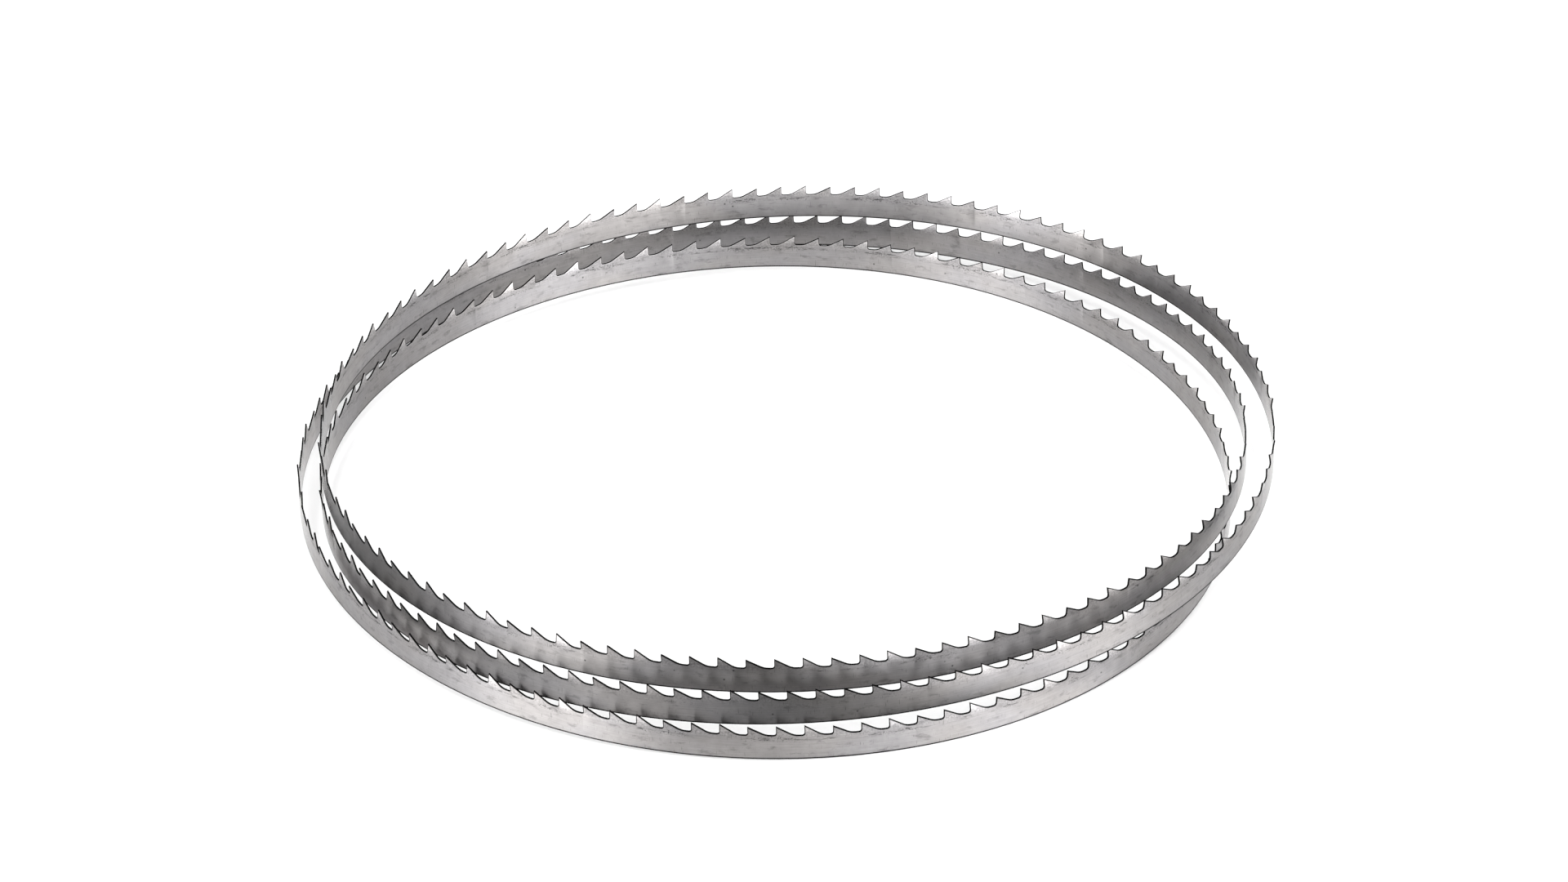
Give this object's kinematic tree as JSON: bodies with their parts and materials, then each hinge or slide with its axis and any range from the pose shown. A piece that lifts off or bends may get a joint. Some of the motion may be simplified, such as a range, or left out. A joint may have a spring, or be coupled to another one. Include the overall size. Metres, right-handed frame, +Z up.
{
  "type": "band saw blade",
  "caption": "Endless toothed steel band for a band saw, folded into three loops and lying on its back edge with the teeth up.",
  "frame": {"origin": "on the surface that the coil rests on, under the middle of its box", "axes": "+Z up, the way the teeth point; +X to the right and +Y to the back, as the picture shows the coil"},
  "size_m": [0.3142, 0.3112, 0.0294],
  "materials": {
    "spring_steel": "satin"
  },
  "bodies": {
    "root": {"blade": "spring_steel"}
  },
  "joints": []
}
